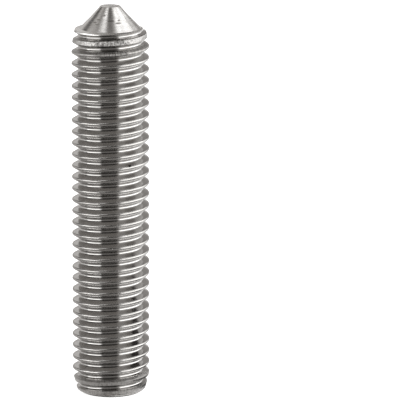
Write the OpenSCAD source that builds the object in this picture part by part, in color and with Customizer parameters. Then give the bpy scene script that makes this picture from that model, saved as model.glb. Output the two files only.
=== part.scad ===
// Cone-point set screw with a hexagon socket and a right-hand metric thread, full length.
// It stands on its socket end. The origin is the centre of that end, and +Z runs up to the point.

/* [Body] */
// Length from the rim of the socket end to the flat of the point
overall_length = 59.75; // [45:0.25:75]

/* [Thread] */
// Outer diameter, over the crests: a nominal 12 with its usual allowance
thread_d = 11.8; // [11:0.1:14]
// Distance from one crest to the next
thread_pitch = 1.75; // [1.5:0.25:2]
// Angle between the two flanks of the groove
flank_angle = 60; // [55:1:62]
// Angle about the axis, from +X, where the crest line passes the plane of the socket end
thread_start = 134; // [0:1:359]
// How far the crest is short of its full height where it begins at the socket end
end_crest_drop = 0.65; // [0.3:0.05:0.8]
// Length along the axis over which it rises to its full height there
end_crest_rise = 2.6; // [1:0.1:4]
// How far the crest is short of its full height where it begins below the cone
point_crest_drop = 0.5; // [0.3:0.05:0.8]
// Length along the axis over which it rises to its full height there
point_crest_rise = 2.7; // [1:0.1:4]

/* [Point] */
// Angle of the cone, measured across it
point_angle = 86; // [76:2:120]
// Diameter of the small flat at the end of the cone
point_flat_d = 3; // [1:0.25:5]
// Width of the shoulder round the cone's base, measured in from the crests
shoulder_width = 1.25; // [0.9:0.05:1.5]
// Slope of that shoulder, from level
shoulder_angle = 10; // [5:5:45]

/* [Socket end] */
// Width of the chamfer, measured in from the crests to the rim
chamfer_width = 1.3; // [0.9:0.05:1.5]
// Slope of the chamfer, from level
chamfer_angle = 30; // [20:5:60]
// Width of the flat rim that the screw stands on
rim_width = 0.3; // [0.2:0.05:0.5]
// Depth of the shallow dish inside the rim
dish_depth = 0.15; // [0.05:0.05:0.3]

/* [Hexagon socket] */
// Width of the hexagon across its flats
socket_flats = 6.1; // [5:0.1:6.4]
// Depth of the socket below the rim
socket_depth = 8; // [4:0.5:12]
// Diameter of the conical dimple in the socket's floor
dimple_d = 3.2; // [2:0.2:4.8]
// Angle of the dimple's cone, measured across it
dimple_angle = 120; // [90:5:140]

/* [Hidden] */

steel = [0.64, 0.63, 0.61];
// Steps of the thread's surface in one turn
turn_steps = 30;
// Facets that stand for a true circle
round_steps = 96;
// How far a cut runs past the face that it opens
overcut = 1;

// Thread form of the metric standard: an eighth of the pitch flat on the crest, and this depth
crest_flat = thread_pitch / 8;
thread_depth = 0.6134 * thread_pitch;
crest_r = thread_d / 2;
root_r = crest_r - thread_depth;
flank_run = thread_depth * tan(flank_angle / 2);
root_flat = thread_pitch - crest_flat - 2 * flank_run;

// Corners of one ridge and groove, from the lower edge of the crest upward: radius and height
form_r = [crest_r, crest_r, root_r, root_r];
form_z = [
    -crest_flat / 2,
    crest_flat / 2,
    crest_flat / 2 + flank_run,
    crest_flat / 2 + flank_run + root_flat
];
corners = len(form_r);

// The threaded column runs past both ends, which the outline then cuts to shape
turns = ceil(overall_length / thread_pitch) + 2;
column_corners = corners * turns;
column_points = turn_steps * column_corners;
bottom_centre = column_points;
top_centre = column_points + 1;

// Radii and levels of the outline that trims the thread, at the socket end
rim_r = crest_r - chamfer_width;
dish_r = rim_r - rim_width - dish_depth;
end_begin_r = crest_r - end_crest_drop;
chamfer_top = (end_begin_r - rim_r) * tan(chamfer_angle);

// The same at the point
point_flat_r = point_flat_d / 2;
cone_base_r = crest_r - shoulder_width;
cone_base = overall_length - (cone_base_r - point_flat_r) / tan(point_angle / 2);
point_begin_r = crest_r - point_crest_drop;
shoulder_base = cone_base - (point_begin_r - cone_base_r) * tan(shoulder_angle);

// The outline is carried past the crests, so that it trims only the ends
clear_r = crest_r + 0.2;
end_full = chamfer_top + (clear_r - end_begin_r) * end_crest_rise / end_crest_drop;
point_full = shoulder_base - (clear_r - point_begin_r) * point_crest_rise / point_crest_drop;

// Point of the thread's surface at angular step a, corner m up the column
function thread_point(a, m) =
    let(
        turn = floor(m / corners) - 1,
        corner = m % corners,
        angle = 360 * a / turn_steps
    )
    [
        form_r[corner] * cos(angle),
        form_r[corner] * sin(angle),
        thread_pitch * (turn + a / turn_steps) + form_z[corner]
    ];

// Index of that point. One turn on, the same corner is one pitch higher in the first column.
function at(a, m) = a < turn_steps ? a * column_corners + m : m + corners;

// Number of corners that the strip from step a to the next one can use
function strip(a) = a < turn_steps - 1 ? column_corners : column_corners - corners;

// One turn of right-hand thread repeated up the column, closed with a fan of facets at each end
module threaded_column() {
    points = [for (a = [0 : turn_steps - 1], m = [0 : column_corners - 1]) thread_point(a, m)];
    centres = [
        [0, 0, -2 * thread_pitch],
        [0, 0, (turns + 1) * thread_pitch]
    ];
    walls = [
        for (a = [0 : turn_steps - 1], m = [0 : strip(a) - 2]) each [
            [at(a, m), at(a, m + 1), at(a + 1, m)],
            [at(a + 1, m), at(a, m + 1), at(a + 1, m + 1)]
        ]
    ];
    bottom = [
        for (a = [0 : turn_steps - 1]) [bottom_centre, at(a, 0), at(a + 1, 0)],
        for (m = [0 : corners - 1]) [bottom_centre, at(0, m + 1), at(0, m)]
    ];
    last = column_corners - 1;
    top = [
        for (a = [0 : turn_steps - 2]) [top_centre, at(a + 1, last), at(a, last)],
        for (m = [last - corners : last - 1]) [top_centre, at(turn_steps - 1, m), at(turn_steps - 1, m + 1)],
        [top_centre, at(0, last), at(turn_steps - 1, last - corners)]
    ];
    polyhedron(concat(points, centres), concat(walls, bottom, top), convexity = 10);
}

// Solid of revolution that trims the thread: rim, chamfer, rising crest, shoulder, cone and flat
module outline() {
    rotate_extrude($fn = round_steps)
        polygon([
            [0, 0],
            [rim_r, 0],
            [end_begin_r, chamfer_top],
            [clear_r, end_full],
            [clear_r, point_full],
            [point_begin_r, shoulder_base],
            [cone_base_r, cone_base],
            [point_flat_r, overall_length],
            [0, overall_length]
        ]);
}

// Shallow dish inside the rim of the socket end
module dish() {
    translate([0, 0, -overcut])
        rotate_extrude($fn = round_steps)
            polygon([
                [0, 0],
                [dish_r + dish_depth + overcut, 0],
                [dish_r, overcut + dish_depth],
                [0, overcut + dish_depth]
            ]);
}

// Hexagon for the key, with its flats across Y, and the dimple in its floor
module socket() {
    translate([0, 0, -overcut])
        cylinder(d = socket_flats / cos(30), h = overcut + socket_depth, $fn = 6);
    translate([0, 0, socket_depth])
        cylinder(d1 = dimple_d, d2 = 0, h = dimple_d / 2 / tan(dimple_angle / 2), $fn = round_steps);
}

module set_screw() {
    color(steel)
        difference() {
            intersection() {
                outline();
                rotate([0, 0, thread_start])
                    threaded_column();
            }
            dish();
            socket();
        }
}

set_screw();
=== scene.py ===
import math

import bpy
import numpy as np
from mathutils import Matrix, Vector


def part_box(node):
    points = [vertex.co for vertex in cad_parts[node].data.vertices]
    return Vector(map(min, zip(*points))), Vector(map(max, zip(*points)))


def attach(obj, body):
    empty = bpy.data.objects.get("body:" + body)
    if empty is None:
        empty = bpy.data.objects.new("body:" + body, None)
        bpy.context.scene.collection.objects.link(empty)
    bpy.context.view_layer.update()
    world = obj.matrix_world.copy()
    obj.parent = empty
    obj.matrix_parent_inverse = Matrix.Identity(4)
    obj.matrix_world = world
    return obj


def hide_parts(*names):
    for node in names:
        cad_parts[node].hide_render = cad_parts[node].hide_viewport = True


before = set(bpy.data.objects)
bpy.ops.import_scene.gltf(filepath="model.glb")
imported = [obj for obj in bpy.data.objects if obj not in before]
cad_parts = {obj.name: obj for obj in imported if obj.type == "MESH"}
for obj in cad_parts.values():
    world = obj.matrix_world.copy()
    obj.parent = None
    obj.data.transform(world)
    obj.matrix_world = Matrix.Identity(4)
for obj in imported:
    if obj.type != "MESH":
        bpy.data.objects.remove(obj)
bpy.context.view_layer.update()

MM = 0.001
NODE = "set_screw"

node_low, node_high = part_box(NODE)

# Sizes in millimetres, as in the part's source
LENGTH = (node_high.z - node_low.z) / MM
CREST_R = min(node_high.x, node_high.y, -node_low.x, -node_low.y) / MM
PITCH = 1.75
THREAD_START = math.radians(134)
HALF_FLANK = math.radians(30)
CREST_FLAT = PITCH / 8
ROOT_DEPTH = 0.6134 * PITCH

CONE_BASE_R = CREST_R - 1.25
POINT_FLAT_R = 1.5
CONE_BASE = LENGTH - (CONE_BASE_R - POINT_FLAT_R) / math.tan(math.radians(43))
CONE_MIDDLE_R = 2.75
CONE_MIDDLE = CONE_BASE + (CONE_BASE_R - CONE_MIDDLE_R) / math.tan(math.radians(44.3))
POINT_BEGIN_R = CREST_R - 0.5
SHOULDER_BASE = CONE_BASE - (POINT_BEGIN_R - CONE_BASE_R) * math.tan(math.radians(10))
POINT_RISE = 2.7

RIM_R = CREST_R - 1.3
RIM_WIDTH = 0.3
DISH_DEPTH = 0.15
END_BEGIN_R = CREST_R - 0.65
CHAMFER_TOP = (END_BEGIN_R - RIM_R) * math.tan(math.radians(30))
END_RISE = 2.6

SOCKET_FLATS = 6.1
SOCKET_DEPTH = 8.0
DIMPLE_R = 1.6
DIMPLE_DEPTH = DIMPLE_R / math.tan(math.radians(60))

TURN_STEPS = 108
LATHE_STEPS = 240


def new_object(name, points, faces):
    mesh = bpy.data.meshes.new(name)
    mesh.from_pydata((np.asarray(points) * MM).tolist(), [], faces)
    mesh.validate()
    obj = bpy.data.objects.new(name, mesh)
    bpy.context.scene.collection.objects.link(obj)
    return obj


# Thread

def thread_form():
    """One pitch from the middle of a crest upward: height above it, and depth below the crest."""
    edge_r = 0.27
    root_r = 0.2526
    half_crest = 0.16
    sharp_depth = (PITCH / 2 - half_crest) / math.tan(HALF_FLANK)
    # The crest's edge is an arc tangent to the crest and the flank
    edge_set = edge_r * math.tan((math.pi / 2 - HALF_FLANK) / 2)
    rise = []
    for share in (0, 0.25, 0.5, 0.75, 1):
        turn = share * (math.pi / 2 - HALF_FLANK)
        rise.append((
            half_crest - edge_set + edge_r * math.sin(turn),
            edge_r * (1 - math.cos(turn)),
        ))
    # The root is an arc tangent to both flanks
    arc_depth = sharp_depth - root_r / math.sin(HALF_FLANK)
    root = []
    for tilt in (60, 45, 30, 15):
        a = math.radians(tilt)
        root.append((PITCH / 2 - root_r * math.sin(a), arc_depth + root_r * math.cos(a)))
    # Points near its ends keep the flank's shading flat
    for share in (0.05, 0.95):
        rise.append(tuple(np.add(rise[4], share * np.subtract(root[0], rise[4]))))
    rise += root
    deepest = (PITCH / 2, arc_depth + root_r)
    fall = [(PITCH - height, depth) for height, depth in reversed(rise)]
    return np.array([(0, 0)] + rise + [deepest] + fall)


def threaded_column():
    """Closed right-hand helix of the thread form, longer than the screw at both ends."""
    form = thread_form()
    per_turn = len(form)
    turns = math.ceil(LENGTH / PITCH) + 2
    rows = per_turn * turns
    steps = np.arange(TURN_STEPS)
    m = np.arange(rows)
    turn = m // per_turn - 1
    height = form[m % per_turn, 0]
    radius = CREST_R - form[m % per_turn, 1]
    angle = 2 * math.pi * steps[:, None] / TURN_STEPS
    z = PITCH * (turn[None, :] + steps[:, None] / TURN_STEPS) + height[None, :]
    r = np.broadcast_to(radius, z.shape)
    around = angle + THREAD_START
    points = np.stack([r * np.cos(around), r * np.sin(around), z], -1).reshape(-1, 3)
    low, high = len(points), len(points) + 1
    points = np.vstack([points, [0, 0, -2 * PITCH], [0, 0, (turns + 1) * PITCH]])

    def at(a, row):
        return a * rows + row if a < TURN_STEPS else row + per_turn

    faces = []
    for a in range(TURN_STEPS):
        last_strip = a == TURN_STEPS - 1
        top = rows - per_turn - 1 if last_strip else rows - 1
        for row in range(top):
            faces.append((at(a, row), at(a + 1, row), at(a + 1, row + 1), at(a, row + 1)))
        faces.append((low, at(a + 1, 0), at(a, 0)))
    for row in range(per_turn):
        faces.append((low, at(0, row), at(0, row + 1)))
    last = rows - 1
    for a in range(TURN_STEPS - 1):
        faces.append((high, at(a, last), at(a + 1, last)))
    for row in range(last - per_turn, last):
        faces.append((high, at(TURN_STEPS - 1, row + 1), at(TURN_STEPS - 1, row)))
    faces.append((high, at(TURN_STEPS - 1, last - per_turn), at(0, last)))
    return new_object("thread", points, faces)


# Turned outline and cutters

def rounded(corners):
    """Outline with an arc at each corner that has a radius: corners are (r, z, radius)."""
    made = []
    for i, (r, z, radius) in enumerate(corners):
        here = Vector((r, z))
        if not radius:
            made.append(here)
            continue
        before = (Vector(corners[i - 1][:2]) - here).normalized()
        after = (Vector(corners[i + 1][:2]) - here).normalized()
        half = before.angle(after) / 2
        cut = radius / math.tan(half)
        centre = here + (before + after).normalized() * (radius / math.sin(half))
        start, end = here + before * cut - centre, here + after * cut - centre
        sweep = start.angle_signed(end)
        for share in (0, 0.25, 0.5, 0.75, 1):
            spun = start.copy()
            spun.rotate(Matrix.Rotation(-sweep * share, 2))
            made.append(centre + spun)
    return made


def lathe(name, outline, steps=LATHE_STEPS):
    """Closed solid of revolution. The outline starts and ends on the axis."""
    ring = outline[1:-1]
    angle = 2 * math.pi * np.arange(steps) / steps
    points = [(r * math.cos(a), r * math.sin(a), z) for a in angle for r, z in ring]
    low, high = len(points), len(points) + 1
    points += [(0, 0, outline[0][1]), (0, 0, outline[-1][1])]
    n = len(ring)
    faces = []
    for a in range(steps):
        b = (a + 1) % steps
        for i in range(n - 1):
            faces.append((a * n + i, b * n + i, b * n + i + 1, a * n + i + 1))
        faces.append((low, b * n, a * n))
        faces.append((high, a * n + n - 1, b * n + n - 1))
    return new_object(name, points, faces)


def outline_solid():
    clear_r = CREST_R + 0.2
    end_full = CHAMFER_TOP + (clear_r - END_BEGIN_R) * END_RISE / (CREST_R - END_BEGIN_R)
    point_rise = (clear_r - POINT_BEGIN_R) * POINT_RISE / (CREST_R - POINT_BEGIN_R)
    return lathe("outline", rounded([
        (0, 0, 0),
        (RIM_R, 0, 0.2),
        (END_BEGIN_R, CHAMFER_TOP, 0.12),
        (clear_r, end_full, 0),
        (clear_r, SHOULDER_BASE - point_rise, 0),
        (POINT_BEGIN_R, SHOULDER_BASE, 0.1),
        (CONE_BASE_R, CONE_BASE, 0.12),
        (CONE_MIDDLE_R, CONE_MIDDLE, 5),
        (POINT_FLAT_R, LENGTH, 0.06),
        (0, LENGTH, 0),
    ]))


def dish_cutter():
    dish_r = RIM_R - RIM_WIDTH - DISH_DEPTH
    return lathe("dish", [Vector(p) for p in (
        (0, -1),
        (dish_r + DISH_DEPTH + 1, -1),
        (dish_r + DISH_DEPTH, 0),
        (dish_r, DISH_DEPTH),
        (0, DISH_DEPTH),
    )])


def socket_cutter():
    """Hexagon with rounded corners and a small bevel at its mouth."""
    corner_r = 0.25
    per_corner = 5
    apothem = SOCKET_FLATS / 2
    mouth = DISH_DEPTH
    bevel = 0.12

    def ring(grow, z):
        made = []
        for i in range(6):
            mid = math.radians(60 * i)
            reach = (apothem + grow - corner_r) / math.cos(math.radians(30))
            cx, cy = reach * math.cos(mid), reach * math.sin(mid)
            for k in range(per_corner):
                a = mid + math.radians(-30 + 60 * k / (per_corner - 1))
                made.append((cx + corner_r * math.cos(a), cy + corner_r * math.sin(a), z))
        return made

    levels = [
        ring(bevel + 1, mouth - 1),
        ring(bevel, mouth),
        ring(0, mouth + bevel),
        ring(0, SOCKET_DEPTH - 0.1),
        ring(-0.1, SOCKET_DEPTH),
    ]
    n = len(levels[0])
    points = [p for level in levels for p in level]
    low, high = len(points), len(points) + 1
    points += [(0, 0, mouth - 1), (0, 0, SOCKET_DEPTH)]
    faces = []
    for i in range(n):
        j = (i + 1) % n
        for k in range(len(levels) - 1):
            faces.append((k * n + i, k * n + j, (k + 1) * n + j, (k + 1) * n + i))
        faces.append((low, j, i))
        faces.append((high, (len(levels) - 1) * n + i, (len(levels) - 1) * n + j))
    return new_object("socket", points, faces)


def dimple_cutter():
    return lathe("dimple", [Vector(p) for p in (
        (0, SOCKET_DEPTH - 0.5),
        (DIMPLE_R, SOCKET_DEPTH - 0.5),
        (DIMPLE_R, SOCKET_DEPTH),
        (0.15, SOCKET_DEPTH + DIMPLE_DEPTH * (1 - 0.15 / DIMPLE_R)),
        (0, SOCKET_DEPTH + DIMPLE_DEPTH * (1 - 0.08 / DIMPLE_R)),
    )], 96)


def cut(obj, tool, operation):
    modifier = obj.modifiers.new("cut", "BOOLEAN")
    modifier.operation = operation
    modifier.solver = "MANIFOLD"
    modifier.object = tool
    depsgraph = bpy.context.evaluated_depsgraph_get()
    made = bpy.data.meshes.new_from_object(obj.evaluated_get(depsgraph))
    obj.modifiers.clear()
    obj.data = made
    bpy.data.objects.remove(tool)


def build_screw():
    screw = threaded_column()
    cut(screw, outline_solid(), "INTERSECT")
    cut(screw, dish_cutter(), "DIFFERENCE")
    cut(screw, socket_cutter(), "DIFFERENCE")
    cut(screw, dimple_cutter(), "DIFFERENCE")
    screw.name = "steel_screw"
    screw.data.name = "steel_screw"
    for polygon in screw.data.polygons:
        polygon.use_smooth = True
    screw.data.set_sharp_from_angle(angle=math.radians(28))
    return screw


# Materials

class Graph:
    """Short way to lay out nodes. A socket takes a value or the output of another node."""

    def __init__(self, tree):
        self.nodes, self.links = tree.nodes, tree.links

    def join(self, socket, source):
        if isinstance(source, bpy.types.NodeSocket):
            self.links.new(source, socket)
        else:
            socket.default_value = source

    def node(self, kind, inputs=(), **settings):
        node = self.nodes.new("ShaderNode" + kind)
        for name, value in settings.items():
            setattr(node, name, value)
        for name, source in dict(inputs).items():
            self.join(node.inputs[name], source)
        return node

    def calc(self, operation, *sources):
        node = self.node("Math", operation=operation)
        for socket, source in zip(node.inputs, sources):
            self.join(socket, source)
        return node.outputs[0]

    def step(self, source, start, end, low=0, high=1):
        """Smooth step from low at start to high at end."""
        node = self.node("MapRange", interpolation_type="SMOOTHSTEP")
        for socket, value in zip(node.inputs, (source, start, end, low, high)):
            self.join(socket, value)
        return node.outputs["Result"]

    def product(self, *sources):
        made = sources[0]
        for source in sources[1:]:
            made = self.calc("MULTIPLY", made, source)
        return made

    def total(self, *sources):
        made = sources[0]
        for source in sources[1:]:
            made = self.calc("ADD", made, source)
        return made

    def vector(self, x, y, z):
        return self.node("CombineXYZ", {"X": x, "Y": y, "Z": z}).outputs[0]

    def noise(self, vector, detail=3.0, rough=0.5):
        return self.node("TexNoise", {
            "Vector": vector, "Scale": 1.0, "Detail": detail, "Roughness": rough,
        }).outputs[0]

    def mix(self, factor, a, b):
        node = self.node("Mix", data_type="RGBA")
        self.join(node.inputs[0], factor)
        self.join(node.inputs[6], a)
        self.join(node.inputs[7], b)
        return node.outputs[2]


class Steel(Graph):
    """Stainless steel, with the coordinates that its marks follow, in millimetres."""

    def __init__(self, name):
        self.material = bpy.data.materials.new(name)
        self.material.use_nodes = True
        super().__init__(self.material.node_tree)
        self.shader = self.nodes["Principled BSDF"]
        self.shader.inputs["Metallic"].default_value = 1
        place = self.node("VectorMath", operation="SCALE")
        self.links.new(self.node("TexCoord").outputs["Object"], place.inputs[0])
        place.inputs["Scale"].default_value = 1 / MM
        self.place = place.outputs[0]
        axes = self.node("SeparateXYZ")
        self.links.new(self.place, axes.inputs[0])
        self.x, self.y, self.z = axes.outputs
        self.r = self.calc("SQRT", self.total(
            self.product(self.x, self.x), self.product(self.y, self.y)))
        self.cos = self.calc("DIVIDE", self.x, self.r)
        self.sin = self.calc("DIVIDE", self.y, self.r)
        self.turn = self.product(self.calc("ARCTAN2", self.y, self.x), 0.5 / math.pi)

    def spot(self, scale, detail=2.0):
        """Noise that is the same in all directions, with so many cells to a millimetre."""
        return self.noise(self.node("VectorMath", {
            "Vector": self.place, "Scale": scale}, operation="SCALE").outputs[0], detail)

    def mark(self, x, z, half_width, half_height):
        """Soft oval on the side towards -Y."""
        across = self.calc("DIVIDE", self.calc("SUBTRACT", self.x, x), half_width)
        up = self.calc("DIVIDE", self.calc("SUBTRACT", self.z, z), half_height)
        away = self.total(self.product(across, across), self.product(up, up))
        return self.product(self.step(away, 1.3, 0.4), self.step(self.y, 0, -1))

    def finish(self, colour, roughness, height, depth_um):
        self.join(self.shader.inputs["Base Color"], colour)
        self.join(self.shader.inputs["Roughness"], roughness)
        bump = self.node("Bump", {"Height": height, "Strength": 1.0, "Distance": depth_um * 1e-6})
        self.links.new(bump.outputs["Normal"], self.shader.inputs["Normal"])
        return self.material


def rolled_steel():
    """Thread: streaks along the helix, a fine grain, and a torn crest where the thread begins."""
    g = Steel("rolled_steel")
    # Part of a pitch above the crest line: the root is at 0.5
    climb = g.calc("SUBTRACT", g.product(g.z, 1 / PITCH), g.turn)
    climb = g.calc("FRACT", g.total(climb, THREAD_START / (2 * math.pi)))
    phase = g.product(climb, 2 * math.pi)
    streak = g.noise(g.vector(
        g.product(g.calc("COSINE", phase), 3.0),
        g.product(g.calc("SINE", phase), 3.0),
        g.product(g.z, 1.5),
    ), 3.0)
    grain = g.spot(5.0)
    cloud = g.spot(0.5)

    # The crest is grainier than the flanks, with small pits
    crest = g.step(g.r, CREST_R - 0.45, CREST_R - 0.05)
    worn = g.step(g.r, CREST_R - 0.2, CREST_R - 0.06, 0, 0.6)
    pit = g.product(
        g.step(g.spot(2.3, 1.0), 0.70, 0.78),
        g.step(g.r, CREST_R - 0.9, CREST_R - 0.2),
    )
    # The flank that faces down has painted shade that deepens towards the root, and the root is
    # burnished
    painted_root_shade = g.product(g.step(climb, 0.5, 0.58), g.step(climb, 0.92, 0.64))
    burnished = g.product(g.step(climb, 0.34, 0.42), g.step(climb, 0.66, 0.58))
    # The second crest from the point and the last one are dull, and the second is torn in front
    second = g.product(
        g.step(g.z, LENGTH - 7.2, LENGTH - 6.4),
        g.step(g.z, LENGTH - 3.6, LENGTH - 4.4),
    )
    dull = g.product(
        g.calc("MAXIMUM", second, g.step(g.z, 4.2, 3.4)),
        g.step(g.r, CREST_R - 0.75, CREST_R - 0.5),
    )
    torn = g.product(
        second, dull, g.step(g.x, -2.7, -1.7), g.step(g.x, 3.2, 2.2), g.step(g.y, 0, -1))
    tick = g.noise(g.vector(
        g.product(g.cos, 24.0), g.product(g.sin, 24.0), g.product(g.z, 2.5)), 2.0)
    dots = g.product(g.step(tick, 0.5, 0.62), dull)
    # One dark speck on the flank that faces up
    speck = g.mark(2.87, 36.1, 0.26, 0.14)

    colour = g.mix(g.step(cloud, 0.35, 0.7), (0.56, 0.552, 0.542, 1), (0.51, 0.501, 0.488, 1))
    for share, shade in (
        (g.product(g.step(streak, 0.35, 0.7), 0.25), (0.43, 0.42, 0.406, 1)),
        # Painted shade on the flank that faces down, deepening towards the root
        (painted_root_shade, (0.4, 0.388, 0.374, 1)),
        (worn, (0.38, 0.37, 0.355, 1)),
        (g.product(dull, g.step(second, 0, 1, 0.1, 0.6)), (0.36, 0.35, 0.335, 1)),
        (g.product(dots, 0.45), (0.13, 0.125, 0.12, 1)),
        (g.product(dots, torn, 0.6), (0.08, 0.076, 0.072, 1)),
        (speck, (0.03, 0.028, 0.026, 1)),
        (g.product(pit, 0.7), (0.25, 0.24, 0.23, 1)),
    ):
        colour = g.mix(share, colour, shade)
    roughness = g.total(g.step(streak, 0.3, 0.75, 0.1, 0.18), g.product(crest, grain, 0.16))
    roughness = g.product(roughness, g.step(burnished, 0, 1, 1, 0.65))
    roughness = g.total(roughness, g.product(dull, 0.16))
    height = g.total(
        g.product(streak, 0.05),
        g.product(grain, g.step(crest, 0, 1, 0.05, 0.8)),
        g.product(tick, torn, 16.0),
        g.product(tick, dull, 14.0),
        g.product(pit, -1.5),
    )
    return g.finish(colour, roughness, height, 9)


# Short nicks across the cone: x, distance below the point, and half the width
NICKS = (
    (-2.3, 2.1, 0.3),
    (-1.7, 1.7, 0.35),
    (-2.0, 2.35, 0.25),
    (0.1, 1.8, 0.5),
    (1.2, 2.1, 0.45),
    (-0.9, 1.1, 0.2),
    (1.3, 1.75, 0.2),
)


def turned_steel():
    """Cone, shoulder, chamfer and rim: rings left by the tool, with a few short scratches."""
    g = Steel("turned_steel")
    g.shader.inputs["Anisotropic"].default_value = 0.75
    g.shader.inputs["Anisotropic Rotation"].default_value = 0.25
    tangent = g.node("Tangent", direction_type="RADIAL", axis="Z")
    g.links.new(tangent.outputs[0], g.shader.inputs["Tangent"])
    along = g.calc("SUBTRACT", g.z, g.r)

    def rings(across, around, detail):
        return g.noise(g.vector(
            g.product(along, across), g.product(g.cos, around), g.product(g.sin, around)), detail)

    ring = rings(7.0, 1.2, 4.0)
    broad = rings(1.4, 0.8, 1.0)
    scratch = g.step(rings(3.4, 4.6, 2.0), 0.7, 0.77)
    for x, down, width in NICKS:
        scratch = g.calc("MAXIMUM", scratch, g.mark(x, LENGTH - down, width, 0.13))
    cloud = g.spot(0.6)
    colour = g.mix(g.step(cloud, 0.35, 0.7), (0.74, 0.73, 0.715, 1), (0.66, 0.648, 0.632, 1))
    colour = g.mix(g.product(g.step(ring, 0.4, 0.75), 0.4), colour, (0.56, 0.548, 0.53, 1))
    colour = g.mix(g.product(scratch, 0.8), colour, (0.24, 0.228, 0.212, 1))
    roughness = g.total(g.step(ring, 0.3, 0.7, 0.2, 0.3), g.product(scratch, 0.2))
    height = g.total(g.product(ring, 0.8), broad, g.product(scratch, -0.8))
    return g.finish(colour, roughness, height, 6)


def punched_steel():
    """Socket: duller, with drag marks along the screw's axis."""
    g = Steel("punched_steel")
    drag = g.noise(g.vector(
        g.product(g.x, 5.0), g.product(g.y, 5.0), g.product(g.z, 0.35)), 4.0)
    grain = g.spot(4.0)
    colour = g.mix(g.step(drag, 0.3, 0.7), (0.6, 0.59, 0.57, 1), (0.42, 0.41, 0.39, 1))
    roughness = g.total(g.step(drag, 0.3, 0.7, 0.26, 0.42), g.product(grain, 0.1))
    height = g.total(drag, g.product(grain, 0.4))
    return g.finish(colour, roughness, height, 10)


def dress(screw):
    """Each face takes the finish of the process that made it."""
    screw.data.materials.clear()
    for material in (rolled_steel(), turned_steel(), punched_steel()):
        screw.data.materials.append(material)
    socket_r = SOCKET_FLATS / 2 / math.cos(math.radians(30)) + 0.2
    for polygon in screw.data.polygons:
        x, y, z = polygon.center / MM
        r = math.hypot(x, y)
        if r < socket_r and DISH_DEPTH + 0.01 < z < SOCKET_DEPTH + 2:
            polygon.material_index = 2
        elif z > SHOULDER_BASE - 0.06 or z < CHAMFER_TOP + 0.06:
            polygon.material_index = 1
        else:
            polygon.material_index = 0


def floor_material():
    """Floor that is white to the camera and keeps the shadow: part of its level is the lamps'."""
    material = bpy.data.materials.new("pale_floor")
    material.use_nodes = True
    g = Graph(material.node_tree)
    g.nodes.clear()
    path = g.node("LightPath")
    seen = g.calc("MAXIMUM", path.outputs["Is Camera Ray"], path.outputs["Is Transmission Ray"])
    lit = g.node("BsdfDiffuse", {"Color": (0.8, 0.8, 0.8, 1)})
    glow = g.node("Emission", {"Color": (1, 1, 1, 1), "Strength": g.product(seen, 0.75)})
    both = g.node("AddShader")
    g.links.new(lit.outputs[0], both.inputs[0])
    g.links.new(glow.outputs[0], both.inputs[1])
    out = g.node("OutputMaterial")
    g.links.new(both.outputs[0], out.inputs["Surface"])
    return material


# Stage, lamps and camera

# What the steel mirrors: the level of the room, and patches of it that differ, later ones on top.
# A patch is its level, its left, right, low and high edge, and how soft these are, in degrees.
# Azimuth 0 is towards -Y, where the camera stands, and 90 is towards +X.
ROOM_LEVEL = 0.5
ROOM_DIM = (1.05, 1.0, 0.96, 1)
ROOM_PATCHES = (
    (0.2, -200, 62, -100, -52, 5),
    (1.2, 70, 200, -100, -48, 8),
    (0.82, -112, 62, -50, -26, 4),
    (0.58, -104, -34, -50, -27, 5),
    (0.45, -34, 28, -50, -27, 5),
    (1.1, 104, 200, -46, 2, 6),
    (0.9, -200, -142, -36, -10, 5),
    (0.16, -108, 24, -22, -5, 3),
    (1.2, -138, -100, 0, 9, 5),
    (2, -112, -90, 0, 12, 4),
    (3.8, -95, -37, 3, 24, 5),
    (1.6, 100, 138, 2, 30, 6),
    (1.35, 29, 106, -21, 5, 4),
    (3.2, 30, 116, 3, 35, 5),
    (0.05, -144, -98, 18, 38, 5),
    (0.28, -34, 22, 2, 16, 5),
    (0, -44, 20, -22, 0, 3),
    (0.02, -90, 40, 38, 54, 5),
    (0.02, -42, 28, 21, 40, 5),
    (0.3, 42, 84, 42, 52, 4),
    (0.4, -200, 200, 62, 100, 5),
    (0.1, 142, 200, 34, 56, 5),
    (0.35, 146, 200, 8, 34, 5),
    (0.7, -200, -150, 8, 36, 5),
    (0.4, -200, -146, 36, 90, 5),
    (0.08, -34, 30, 50, 83, 8),
    (1.9, -78, -38, 58, 76, 6),
    (0.3, -106, -80, 46, 74, 5),
    (2.1, 54, 96, 54, 76, 8),
    (1.8, 90, 126, 38, 62, 5),
)


def make_floor():
    """Level floor. The steel sees the lower half of the room in its place."""
    half = 1500
    floor = new_object(
        "floor",
        [(-half, -half, 0), (half, -half, 0), (half, half, 0), (-half, half, 0)],
        [(0, 1, 2, 3)],
    )
    floor.data.materials.append(floor_material())
    floor.visible_glossy = False


def shadow_card(name, outline):
    """Dark card on the floor that only the steel sees. The outline is a list of x and y."""
    card = new_object(name, [(x, y, -0.02) for x, y in outline], [tuple(range(len(outline)))])
    material = bpy.data.materials.new(name)
    material.use_nodes = True
    shader = material.node_tree.nodes["Principled BSDF"]
    shader.inputs["Base Color"].default_value = (0.08, 0.075, 0.07, 1)
    shader.inputs["Roughness"].default_value = 0.9
    card.data.materials.append(material)
    card.visible_camera = card.visible_diffuse = card.visible_shadow = False


def make_shadows():
    """The screw's shadow as the steel sees it: under the rim, and on the floor to the right."""
    under = [math.radians(10 * i) for i in range(36)]
    shadow_card("shadow_under", [(4.85 * math.cos(a), 4.85 * math.sin(a)) for a in under])
    shadow_card("shadow_right", [(6, -6), (48, -7), (48, 12), (6, 6.5)])


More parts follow.
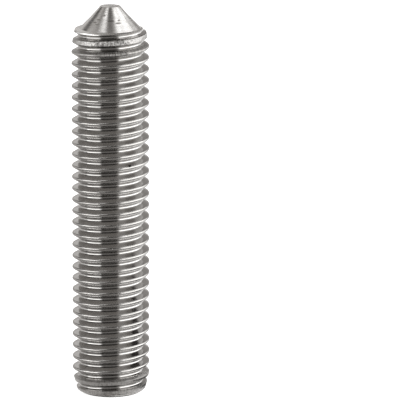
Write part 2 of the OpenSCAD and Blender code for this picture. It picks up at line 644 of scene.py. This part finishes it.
def make_world():
    """Room for the steel: dim in front and bright at both sides. The camera sees white."""
    world = bpy.data.worlds.new("studio")
    bpy.context.scene.world = world
    world.use_nodes = True
    g = Graph(world.node_tree)
    axes = g.node("SeparateXYZ")
    g.links.new(g.node("TexCoord").outputs["Generated"], axes.inputs[0])
    x, y, z = axes.outputs
    azimuth = g.calc("DEGREES", g.calc("ARCTAN2", x, g.product(y, -1.0)))
    elevation = g.calc("DEGREES", g.calc("ARCSINE", z))
    level = ROOM_LEVEL
    for shade, left, right, low, high, soft in ROOM_PATCHES:
        patch = g.product(
            g.step(azimuth, left - soft, left + soft),
            g.step(azimuth, right + soft, right - soft),
            g.step(elevation, low - soft, low + soft),
            g.step(elevation, high + soft, high - soft),
        )
        mix = g.node("Mix", {"Factor": patch, "A": level, "B": shade})
        level = mix.outputs["Result"]
    colour = g.mix(g.step(level, 0.1, 1.2), ROOM_DIM, (1, 1, 1, 1))
    camera = g.node("LightPath").outputs["Is Camera Ray"]
    background = g.nodes["Background"]
    g.join(background.inputs["Color"], g.mix(camera, colour, (1, 1, 1, 1)))
    g.join(background.inputs["Strength"], g.calc("MAXIMUM", level, camera))


def softbox(name, azimuth, elevation, distance, width, height, radiance):
    """Area lamp that faces the screw. Azimuth 0 is the camera's side, and 90 is +X."""
    a, e = math.radians(azimuth), math.radians(elevation)
    away = Vector((math.sin(a) * math.cos(e), -math.cos(a) * math.cos(e), math.sin(e)))
    lamp = bpy.data.lights.new(name, "AREA")
    lamp.shape = "RECTANGLE"
    lamp.size = width * MM
    lamp.size_y = height * MM
    lamp.energy = radiance * math.pi * lamp.size * lamp.size_y
    obj = bpy.data.objects.new(name, lamp)
    obj.location = Vector((0, 0, LENGTH / 2 * MM)) + away * distance * MM
    obj.rotation_mode = "QUATERNION"
    obj.rotation_quaternion = away.to_track_quat("Z", "Y")
    obj.visible_camera = False
    obj.visible_glossy = False
    bpy.context.scene.collection.objects.link(obj)


def make_camera():
    """Camera fitted to the crest and root lines of the screw in the photograph."""
    focal = 4472.8
    u, v = 110.71, 198.38
    elevation = 0.2191
    distance = 680.0
    roll = 0.0018
    image = 400
    aim = Vector((0, 0, 30))
    back = Vector((0, -math.cos(elevation), math.sin(elevation)))
    right = Vector((1, 0, 0))
    up = right.cross(-back)
    ahead = -back + right * ((image / 2 - u) / focal) - up * ((image / 2 - v) / focal)
    ahead.normalize()
    side = ahead.cross(Vector((0, 0, 1))).normalized()
    top = side.cross(ahead)
    x = side * math.cos(roll) + top * math.sin(roll)
    y = top * math.cos(roll) - side * math.sin(roll)
    camera = bpy.data.cameras.new("camera")
    camera.sensor_width = 36
    camera.lens = 36 * focal / image
    camera.clip_start = 0.01
    camera.clip_end = 10
    obj = bpy.data.objects.new("camera", camera)
    place = (aim + back * distance) * MM
    obj.matrix_world = Matrix((
        (x.x, y.x, -ahead.x, place.x),
        (x.y, y.y, -ahead.y, place.y),
        (x.z, y.z, -ahead.z, place.z),
        (0, 0, 0, 1),
    ))
    bpy.context.scene.collection.objects.link(obj)
    bpy.context.scene.camera = obj


make_camera()
make_world()
make_floor()
make_shadows()
softbox("lamp_left", -60, 40, 600, 300, 300, 1)
softbox("lamp_right", 60, 40, 600, 300, 300, 1)
bpy.context.scene.view_settings.view_transform = "Standard"

screw = build_screw()
dress(screw)
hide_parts(NODE)
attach(screw, "root")
